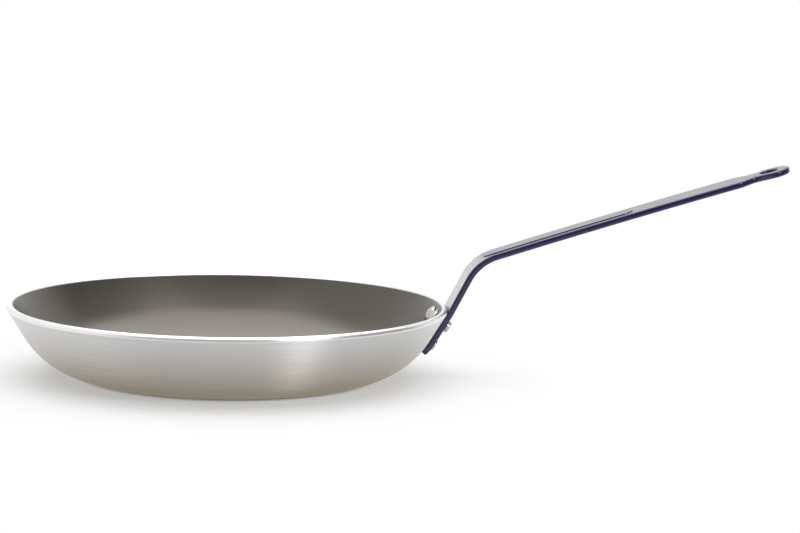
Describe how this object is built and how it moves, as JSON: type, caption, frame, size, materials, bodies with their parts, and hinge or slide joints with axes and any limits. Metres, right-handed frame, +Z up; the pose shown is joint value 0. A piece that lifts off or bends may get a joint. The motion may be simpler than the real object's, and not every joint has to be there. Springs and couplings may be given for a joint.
{
  "type": "frying pan",
  "caption": "Round aluminium frying pan with flared walls, a dark nonstick lining and a long bent strip handle, riveted on, with a hanging eye.",
  "frame": {"origin": "middle of the flat base's underside, on the pan's own axis", "axes": "+Z up along the pan's axis, +X along the handle, +Y to the far side of the handle"},
  "size_m": [0.5031, 0.28, 0.1381],
  "materials": {
    "brushed_aluminium": "satin, turned lines round the wall, polished rim band",
    "nonstick_film": "dark warm grey baked film, low sheen, fine grain",
    "blue_epoxy": "dark blue baked epoxy on strip steel, semi-gloss",
    "rivet_aluminium": "satin, bare"
  },
  "bodies": {
    "root": {"pan_body": "brushed_aluminium", "nonstick_lining": "nonstick_film", "handle": "blue_epoxy", "rivet_upper_near": "rivet_aluminium", "rivet_upper_far": "rivet_aluminium", "rivet_lower": "rivet_aluminium"}
  },
  "joints": []
}
